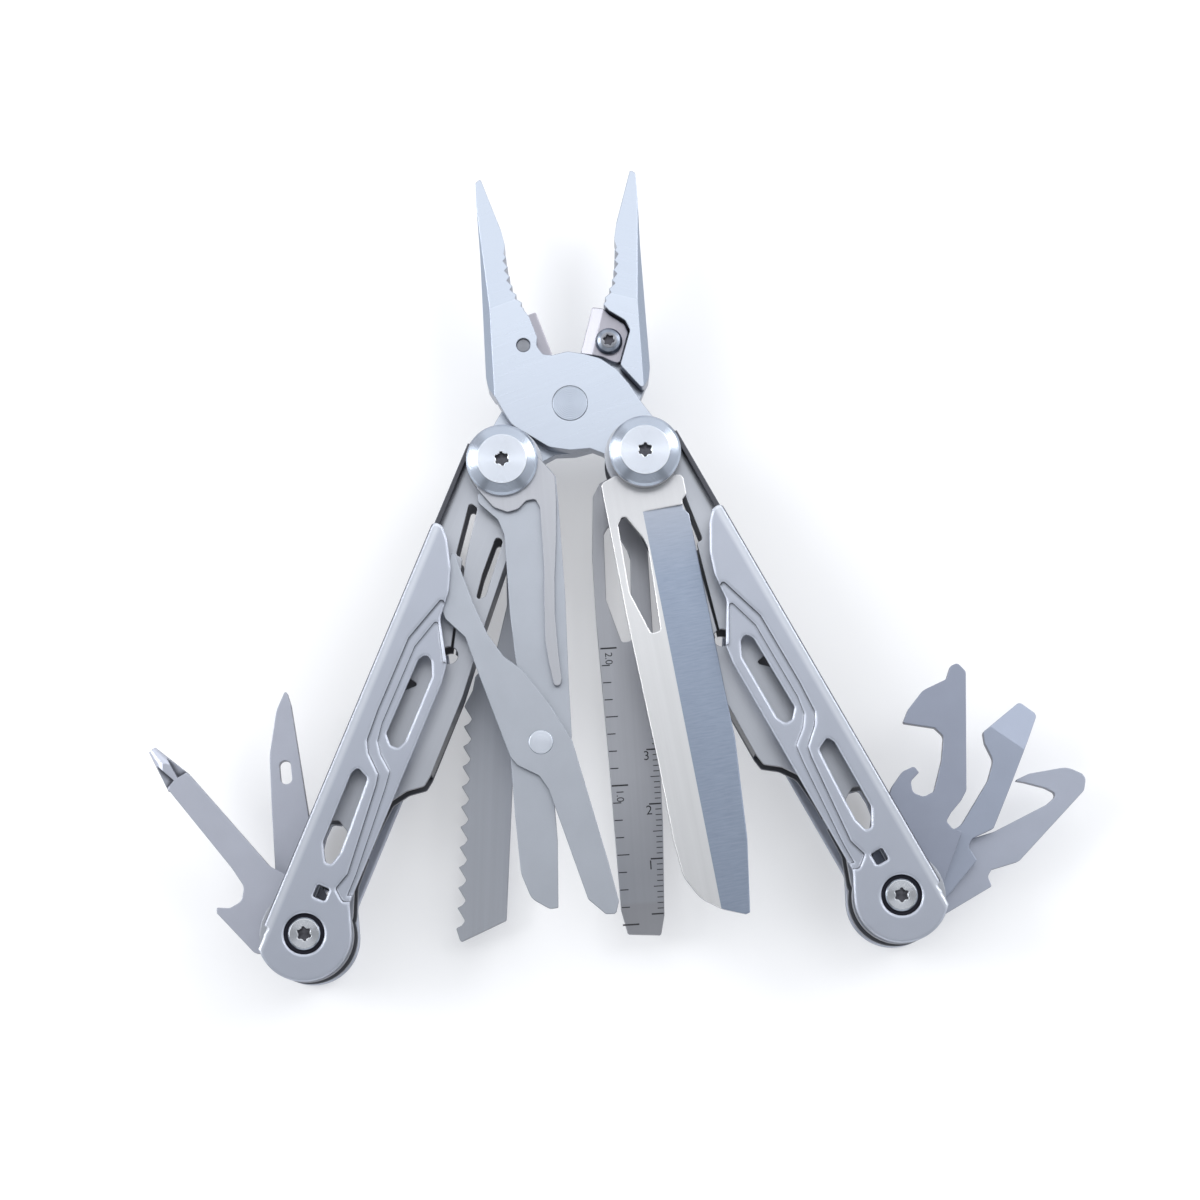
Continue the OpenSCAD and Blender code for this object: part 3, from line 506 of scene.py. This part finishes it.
def turned(name, colour, centre, recess=None, top=None, rings=5.0, roughness=0.2, edge_gain=0.6, faces=0.0):
    """Lathe-turned steel. recess is the driver recess's radius in mm, painted dark as shade below top.

    faces is 1 for a head that looks up, -1 for one that looks down and 0 for a pair of heads.
    """
    finish = steel(name, colour, 0.0, centre, grain="blasted", roughness=roughness, bump=0.1,
                   edge_radius=0.00025, edge_gain=edge_gain, spread=0.04)
    tree = finish["tree"]
    x, y, z = parts(finish)
    squares = [maths(tree, "MULTIPLY", v, v) for v in (x, y)]
    radius = maths(tree, "SQRT", maths(tree, "ADD", *squares))
    wave = maths(tree, "SINE", maths(tree, "MULTIPLY", radius, rings * 2 * math.pi))
    ring_bump = node(tree, "ShaderNodeBump")
    ring_bump.inputs["Strength"].default_value = 0.35
    ring_bump.inputs["Distance"].default_value = RING_DEPTH
    tree.links.new(wave, ring_bump.inputs["Height"])
    tree.links.new(finish["height"].outputs[0], ring_bump.inputs["Normal"])
    tree.links.new(ring_bump.outputs[0], finish["shader"].inputs["Normal"])
    # Painted shade on the sloped chamfer.
    level = maths(tree, "ABSOLUTE", upness(finish))
    sloped = between(finish, level, *CHAMFER_SLOPE, soft=0.01)
    tint(finish, maths(tree, "MULTIPLY", sloped, 0.75), CHAMFER)
    # Painted shade inside the driver recess.
    if recess:
        inside = maths(tree, "LESS_THAN", radius, recess)
        depth = maths(tree, "MULTIPLY", z, faces) if faces else maths(tree, "ABSOLUTE", z)
        below = maths(tree, "LESS_THAN", depth, top)
        lower = maths(tree, "MULTIPLY", below, maths(tree, "GREATER_THAN", depth, RECESS_FLOOR))
        tint(finish, maths(tree, "MULTIPLY", inside, lower), (0.10, 0.10, 0.115))
    return finish


# %% Pins, bolts and nuts
BRIGHT = (0.76, 0.80, 0.88)
RECESS_RADIUS = 1.42
PIVOT_RECESS_TOP, END_RECESS_TOP = 10.6, 10.2
wear("main_pivot_pin", turned("flush_pin", (0.50, 0.55, 0.64), pin_place, rings=3.0, roughness=0.34,
                              edge_gain=0.1))
for side, lower_pin in low_pin.items():
    upper = turned(f"{side}_pivot_turned", BRIGHT, pivot(f"{side}_handle_fold"), recess=RECESS_RADIUS,
                   top=PIVOT_RECESS_TOP)
    lower = turned(f"{side}_lower_turned", (0.62, 0.64, 0.68), pivot(lower_pin), recess=RECESS_RADIUS,
                   top=END_RECESS_TOP)
    for piece in ("pivot_bolt", "pivot_nut"):
        wear(f"{side}_{piece}", upper)
    for piece in ("end_bolt", "end_nut"):
        wear(f"{side}_{piece}", lower)
rivet_place = pivot("scissors_squeeze")
wear("scissors_rivet", turned("rivet_turned", (0.7, 0.74, 0.82), rivet_place, rings=4.0, roughness=0.3))

# %% [markdown]
# Washers and spacer rings are hardly seen: only their rims show between the layers. They are duller
# and darker, with a fine blasted grain. The cutter screws are small dark button heads. Each looks out
# of one side only, so its recess is given painted shade on that side.

# %% Washers, spacers and cutter screws
DULL = (0.42, 0.43, 0.45)
for side in ("left", "right"):
    dull = steel(f"{side}_ring_steel", DULL, 0.0, pivot(f"{side}_handle_fold"), grain="blasted",
                 roughness=0.45)
    wear(f"{side}_pivot_washers", dull)
    wear(f"{side}_end_spacers", dull)
for name, faces in (("front_cutter_screw", 1.0), ("rear_cutter_screw", -1.0)):
    low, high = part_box(name)
    middle = (Vector(low) + Vector(high)) / 2
    centre = Vector((middle.x, middle.y, pin_place.z))
    wear(name, turned(f"{name}_steel", (0.27, 0.28, 0.31), centre, recess=1.12, top=3.45, rings=4.0,
                      roughness=0.3, faces=faces))

# %% [markdown]
# The knife is the brightest tool. Its flat is satin, and the bevel is ground across, at right angles
# to the edge, which makes it streaky; its bluer, darker tone is painted shade on the tilted face. The
# two differ in their slope, so the surface's own normal tells them apart without any drawing. Towards
# the pin the flat is painted greyer, as painted shade.

# %% Knife
CUT_SIDE = (0.09, 0.095, 0.12)
GRIND_SLOPE = (0.97, 0.9985)
TANG_REACH = (-20.0, 14.0)
knife = steel("knife_satin", (0.88, 0.88, 0.89), angle["knife"], pivot("knife_fold"), roughness=0.3,
              across=4.0, bump=0.2, edge_radius=0.0003, edge_gain=0.7)
slope = maths(knife["tree"], "ABSOLUTE", upness(knife))
ground = between(knife, slope, *GRIND_SLOPE, soft=0.0004)
cross_place = place_in_mm(knife["tree"], angle["knife"] + math.pi / 2, pivot("knife_fold"))
cross = node(knife["tree"], "ShaderNodeGroup", node_tree=brushed)
cross.inputs["Along"].default_value = 0.06
cross.inputs["Across"].default_value = 3.6
knife["tree"].links.new(cross_place, cross.inputs["Place"])
# The bevel's streaky grain in a bluer, darker tone: painted shade on the tilted face.
shaded_streaks = mix(knife["tree"], cross.outputs["Height"], (0.25, 0.30, 0.40, 1.0), (0.41, 0.47, 0.58, 1.0))
knife["base"] = mix(knife["tree"], ground, knife["base"], shaded_streaks)
knife["tree"].links.new(knife["base"], knife["shader"].inputs["Base Color"])
# Painted shade: the flat is made greyer towards the pin.
tang = between(knife, parts(knife)[0], *TANG_REACH, soft=9.0)
tint(knife, maths(knife["tree"], "MULTIPLY", tang, 0.5), (0.52, 0.52, 0.55))
# Painted shade on the upright sides, with some darker cut finish.
dark_sides(knife, CUT_SIDE, 0.8)
wear("knife", knife)

# %% [markdown]
# The scissors and the saw are stamped sheet with a satin face. Their shapes lie one on another in the
# same grey, so what tells them apart is a painted dark line of shade round each outline and the dark
# cut sides, which are painted shade with some darker cut finish.

# %% Scissors, their spring, and the saw
for name in ("scissors_base", "scissors_lever"):
    plate = steel(f"{name}_satin", (0.52, 0.55, 0.61), angle["scissors"], pivot("scissors_fold"),
                  grain="blasted", roughness=0.36, bump=0.25, edge_radius=0.0002, edge_gain=0.0)
    dark_line(plate, 0.75)
    dark_sides(plate, CUT_SIDE, 0.9)
    wear(name, plate)
spring = steel("spring_satin", (0.54, 0.55, 0.59), angle["scissors"], pivot("scissors_fold"), roughness=0.36,
               across=5.0, edge_radius=0.00022, edge_gain=0.0)
dark_line(spring, 0.85)
dark_sides(spring, CUT_SIDE, 0.9)
wear("scissors_spring", spring)
saw = steel("saw_satin", (0.49, 0.51, 0.56), angle["saw"], pivot("saw_fold"), roughness=0.36, across=4.0,
            edge_radius=0.00018, edge_gain=0.1)
dark_line(saw, 0.45)
dark_sides(saw, CUT_SIDE, 0.7)
wear("wood_saw", saw)

# %% [markdown]
# The small tools inside the handles are stamped and blasted like the scales, only a little greyer.
# Each has its own tone and its own direction, so one loop gives five finishes.

# %% Inner tools
SMALL = {"phillips": (0.52, 0.54, 0.62), "awl": (0.50, 0.52, 0.60), "can": (0.36, 0.39, 0.48),
         "flat": (0.40, 0.44, 0.54), "hook": (0.48, 0.51, 0.60)}
for name, key, hinge in (("phillips_driver", "phillips", "phillips_fold"), ("awl", "awl", "awl_fold"),
                         ("can_opener", "can", "can_opener_fold"), ("flat_driver", "flat", "flat_driver_fold"),
                         ("hook_opener", "hook", "hook_opener_fold")):
    small = steel(f"{name}_blasted", SMALL[key], angle[key], pivot(hinge), grain="blasted", roughness=0.38,
                  bump=0.3, edge_radius=0.0002, edge_gain=0.1)
    # Painted shade: a dark line round each flat, and dark upright sides with some darker cut finish.
    dark_line(small, 0.45)
    dark_sides(small, CUT_SIDE, 0.85)
    wear(name, small)

# %% [markdown]
# The file carries its cuts on one face and a ruler on the other. Real file teeth are two sets of fine
# slanted grooves. They are far too small and too many to model, so they are bump, held to the rear face
# by its normal. The ruler's marks are printed, and those are real thin pieces, made further down.

# %% File
TOOTH_PITCH = 0.75
TOOTH_SLANTS = (0.9, -0.62)
TOOTH_DEPTH = 0.00012
TEETH_REACH, TIP_REACH, END_REACH = (36.0, 80.0), (66.0, 95.0), (80.5, 90.0)
file_steel = steel("file_satin", (0.50, 0.51, 0.55), angle["file"], pivot("file_fold"), roughness=0.38,
                   across=4.0, edge_radius=0.0002, edge_gain=0.8)
tree = file_steel["tree"]
x, y, z = parts(file_steel)
grooves = None
for slant in TOOTH_SLANTS:
    lane = maths(tree, "ADD", x, maths(tree, "MULTIPLY", y, slant))
    wave = maths(tree, "SINE", maths(tree, "MULTIPLY", lane, 2 * math.pi / TOOTH_PITCH))
    grooves = wave if grooves is None else maths(tree, "MAXIMUM", grooves, wave)
rear = maths(tree, "LESS_THAN", upness(file_steel), -0.5)
cut_zone = maths(tree, "MULTIPLY", rear, between(file_steel, x, *TEETH_REACH, soft=0.2))
teeth = maths(tree, "MULTIPLY", grooves, cut_zone)
teeth_bump = node(tree, "ShaderNodeBump")
teeth_bump.inputs["Strength"].default_value = 0.9
teeth_bump.inputs["Distance"].default_value = TOOTH_DEPTH
tree.links.new(teeth, teeth_bump.inputs["Height"])
tree.links.new(file_steel["height"].outputs[0], teeth_bump.inputs["Normal"])
tree.links.new(teeth_bump.outputs[0], file_steel["shader"].inputs["Normal"])
tint(file_steel, maths(tree, "MULTIPLY", cut_zone, 0.45), (0.30, 0.31, 0.33))
tip = maths(tree, "MULTIPLY", between(file_steel, x, *TIP_REACH, soft=9.0), 0.45)
tint(file_steel, tip, (0.26, 0.27, 0.30))
end = maths(tree, "MULTIPLY", between(file_steel, x, *END_REACH, soft=0.3), 0.55)
tint(file_steel, end, (0.34, 0.34, 0.36))
# Painted shade on the upright sides, with some darker cut finish.
dark_sides(file_steel, CUT_SIDE, 0.8)
wear("file_ruler", file_steel)

# %% [markdown]
# The ruler is printed in black: inches from the tip along one edge, centimetres along the other. A
# texture could show it, but the marks would blur close up, so each mark is a thin bar of ink. All bars
# of one scale are one mesh. The digits are text objects turned into meshes and laid on the same face.

# %% Ink
ink = bpy.data.materials.new("ruler_ink")
ink.use_nodes = True
ink_tree = ink.node_tree
ink_shader = ink_tree.nodes["Principled BSDF"]
ink_shader.inputs["Roughness"].default_value = 0.55
ink_spots = node(ink_tree, "ShaderNodeTexNoise", in_Scale=3.0, in_Detail=3.0)
ink_tree.links.new(place_in_mm(ink_tree, 0.0, (0, 0, 0)), ink_spots.inputs["Vector"])
ink_colour = mix(ink_tree, ink_spots.outputs["Fac"], (0.012, 0.012, 0.014, 1.0), (0.05, 0.05, 0.055, 1.0))
ink_tree.links.new(ink_colour, ink_shader.inputs["Base Color"])
print("ink", ink.name, "nodes", len(ink_tree.nodes))

# %% Lay marks on the file
face_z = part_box("file_ruler")[1][2]
file_pin = pivot("file_fold")
INK_HEIGHT = 0.00003


def on_file(along, across):
    """A point of the file's upper face. along runs from the pin to the tip, across towards the spine."""
    local = Vector((along, -across, 0.0)) / MM
    point = Matrix.Rotation(angle["file"], 3, "Z") @ local
    return Vector((file_pin.x + point.x, file_pin.y + point.y, face_z))


def bars(name, marks):
    """One mesh of thin bars. marks are (along, across start, across end, width) in millimetres."""
    mesh = bmesh.new()
    for along, start, end, width in marks:
        made = bmesh.ops.create_cube(mesh, size=1.0)["verts"]
        bmesh.ops.scale(mesh, vec=(width / MM, abs(end - start) / MM, INK_HEIGHT), verts=made)
        bmesh.ops.rotate(mesh, cent=(0, 0, 0), matrix=Matrix.Rotation(angle["file"], 3, "Z"), verts=made)
        bmesh.ops.translate(mesh, vec=on_file(along, (start + end) / 2), verts=made)
    data = bpy.data.meshes.new(name)
    mesh.to_mesh(data)
    mesh.free()
    data.materials.append(ink)
    made = bpy.data.objects.new(name, data)
    bpy.context.scene.collection.objects.link(made)
    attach(made, "file_ruler")
    print(name, "bars", len(marks))


# %% Digits on the file
def digits(name, text, along, across, size, lean):
    """Digits as a flat mesh on the file. lean turns their line away from the file's length."""
    curve = bpy.data.curves.new(name, "FONT")
    curve.body = text
    curve.size = size / MM
    curve.align_x = "CENTER"
    curve.align_y = "CENTER"
    curve.extrude = INK_HEIGHT / 2
    source = bpy.data.objects.new(name + "_text", curve)
    bpy.context.scene.collection.objects.link(source)
    bpy.context.view_layer.update()
    data = bpy.data.meshes.new_from_object(source)
    bpy.data.objects.remove(source)
    turn = Matrix.Rotation(angle["file"] + lean, 4, "Z")
    data.transform(Matrix.Translation(on_file(along, across)) @ turn)
    data.name = name
    data.materials.clear()
    data.materials.append(ink)
    made = bpy.data.objects.new(name, data)
    bpy.context.scene.collection.objects.link(made)
    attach(made, "file_ruler")
    print(name, text)


# %% [markdown]
# The file isn't quite straight-sided, so marks set on a straight line would run off its edge. Two small
# functions follow its two edges. The marks hang from them, longer at the half and whole steps.

# %% Where the scales run
INCH, INCH_ZERO, CM_ZERO = 25.4, 84.3, 82.6
SPINE_AT_TIP, SPINE_TIP, SPINE_TAPER = 9.15, 82.0, 0.0222
BELLY_AT_TIP, BELLY_TIP, BELLY_TAPER = 1.35, 83.0, 0.044
BELLY_BREAK, BELLY_AT_BREAK, BELLY_REST = 66, 0.62, 0.0115


def inch_edge(along):
    """Where the file's spine edge is, at that distance from the pin."""
    return SPINE_AT_TIP + max(0.0, (SPINE_TIP - along)) * SPINE_TAPER


def cm_edge(along):
    """Where the file's other edge is. It tapers faster near the tip."""
    if along > BELLY_BREAK:
        return BELLY_AT_TIP - max(0.0, BELLY_TIP - along) * BELLY_TAPER
    return BELLY_AT_BREAK - (BELLY_BREAK - along) * BELLY_REST


print("edges near the tip", round(inch_edge(INCH_ZERO), 2), round(cm_edge(CM_ZERO), 2))

# %% Inch and centimetre marks
EIGHTHS, MILLIMETRES = 17, 33
inch_marks = []
for eighth in range(EIGHTHS):
    along = INCH_ZERO - eighth * INCH / 8
    length = 3.0 if eighth % 8 == 0 else 2.2 if eighth % 4 == 0 else 1.5
    side = inch_edge(along) - 0.12
    inch_marks.append((along, side - length, side, 0.3 if eighth % 8 == 0 else 0.2))
bars("inch_marks", inch_marks)
cm_marks = []
for millimetre in range(MILLIMETRES):
    along = CM_ZERO - millimetre
    length = 2.2 if millimetre % 10 == 0 else 1.7 if millimetre % 5 == 0 else 1.1
    side = cm_edge(along) + 0.15
    cm_marks.append((along, side, side + length, 0.28 if millimetre % 10 == 0 else 0.16))
bars("centimetre_marks", cm_marks)

# %% Inch and centimetre digits
for text, value in (("1.0", 1), ("2.0", 2)):
    mark = INCH_ZERO - INCH * value
    digits(f"inch_digit_{value}", text, mark + 1.9, inch_edge(mark) - 1.5, 1.9, 0.0)
for value in (1, 2, 3):
    mark = CM_ZERO - 10 * value
    digits(f"centimetre_digit_{value}", str(value), mark + 1.2, cm_edge(mark) + 2.4, 2.4, math.pi / 2)

# %% [markdown]
# The tool lies on a plain pale table. A table lit only by lamps goes dark under the tool and in its
# slots, because the tool stands in its light. This one gives off a little light of its own, so shadows
# and see-through openings stay pale. It lies a hair below the tool, so that the two never flicker.

# %% Table
TABLE_SIZE, TABLE_DROP, TABLE_GLOW = 3.0, 0.0002, 0.36
table = bmesh.new()
bmesh.ops.create_grid(table, x_segments=1, y_segments=1, size=TABLE_SIZE)
table_mesh = bpy.data.meshes.new("table")
table.to_mesh(table_mesh)
table.free()
table_top = bpy.data.objects.new("table", table_mesh)
bpy.context.scene.collection.objects.link(table_top)
pale = bpy.data.materials.new("pale_table")
pale.use_nodes = True
pale_shader = pale.node_tree.nodes["Principled BSDF"]
pale_shader.inputs["Base Color"].default_value = (0.62, 0.62, 0.63, 1.0)
pale_shader.inputs["Roughness"].default_value = 0.9
pale_shader.inputs["Emission Color"].default_value = (0.97, 0.98, 1.0, 1.0)
pale_shader.inputs["Emission Strength"].default_value = TABLE_GLOW
table_mesh.materials.append(pale)
table_top.location.z = -TABLE_DROP
print("table", TABLE_SIZE * 2, "m wide")

# %% [markdown]
# Bare metal shows what is round it rather than a colour of its own, so the lights matter as much as the
# finishes. One small lamp would leave it black with a few hard spots. Instead an even pale surround and
# a wide panel overhead give the flats their grey, four upright panels light the sides, and two very
# wide suns, like windows, put a soft difference between left and right. The camera sees no panel.

# %% Surround
SURROUND_COLOUR, SURROUND_STRENGTH = (0.93, 0.96, 1.0, 1.0), 0.45
scene = bpy.context.scene
scene.view_settings.view_transform = "Standard"
world = bpy.data.worlds.new("studio") if scene.world is None else scene.world
scene.world = world
world.use_nodes = True
surround = world.node_tree.nodes["Background"]
surround.inputs["Color"].default_value = SURROUND_COLOUR
surround.inputs["Strength"].default_value = SURROUND_STRENGTH
print("surround", SURROUND_STRENGTH)


# %% Panels and suns
def panel(name, place, size, power, colour):
    """A flat soft light that faces the middle of the tool and stays out of the camera's sight."""
    data = bpy.data.lights.new(name, "AREA")
    data.shape = "RECTANGLE"
    data.size, data.size_y = size
    data.energy = power
    data.color = colour
    lamp = bpy.data.objects.new(name, data)
    lamp.location = place
    aim = Vector((0.0, 0.0, 0.0)) - Vector(place)
    lamp.rotation_euler = aim.to_track_quat("-Z", "Y").to_euler()
    lamp.visible_camera = False
    scene.collection.objects.link(lamp)
    print(name, power, "W")


def sunlight(name, azimuth, elevation, power, spread):
    """A far lamp with a wide disc: azimuth and elevation say where it stands, in degrees."""
    data = bpy.data.lights.new(name, "SUN")
    data.energy = power
    data.angle = math.radians(spread)
    lamp = bpy.data.objects.new(name, data)
    lamp.rotation_euler = (0.0, math.radians(90 - elevation), math.radians(azimuth))
    scene.collection.objects.link(lamp)
    print(name, power)


# %% Light
panel("overhead_panel", (0.0, 0.62, 1.0), (1.7, 0.9), 5.2, (0.97, 0.985, 1.0))
WALLS = {"left": (-1.5, 0.0, 0.7), "right": (1.5, 0.0, 0.7), "far": (0.0, 1.6, 0.6), "near": (0.0, -1.6, 0.6)}
for side, place in WALLS.items():
    panel(f"{side}_wall_panel", place, (2.2, 1.0), 7.0, (0.95, 0.975, 1.0))
sunlight("left_window", 165, 34, 1.25, 30)
sunlight("right_window", 35, 38, 0.85, 30)

# %% [markdown]
# The camera looks down on the tool from a little below its handles, through a long lens, so that the
# nearer pieces don't swell. A longer lens further off would look flatter still, but then the sides of
# the bolt heads and of the handles would no longer show.

# %% Camera
SENSOR_WIDTH, HALF_VIEW = 36.0, 11.0
CAMERA_PLACE, LOOK_AT = (-0.0033, -0.0938, 0.5681), (-0.0033, -0.0065, 0.017)
lens = bpy.data.cameras.new("camera")
lens.sensor_width = SENSOR_WIDTH
lens.lens = SENSOR_WIDTH / 2 / math.tan(math.radians(HALF_VIEW))
camera = bpy.data.objects.new("camera", lens)
camera.location = CAMERA_PLACE
look = Vector(LOOK_AT) - camera.location
camera.rotation_euler = look.to_track_quat("-Z", "Y").to_euler()
scene.collection.objects.link(camera)
scene.camera = camera
print("camera", [round(v, 4) for v in camera.location])

# %% [markdown]
# Last, the scene is brought up to date. Nothing added here may change what the tool
# measures.

# %% Bring the scene up to date
bpy.context.view_layer.update()
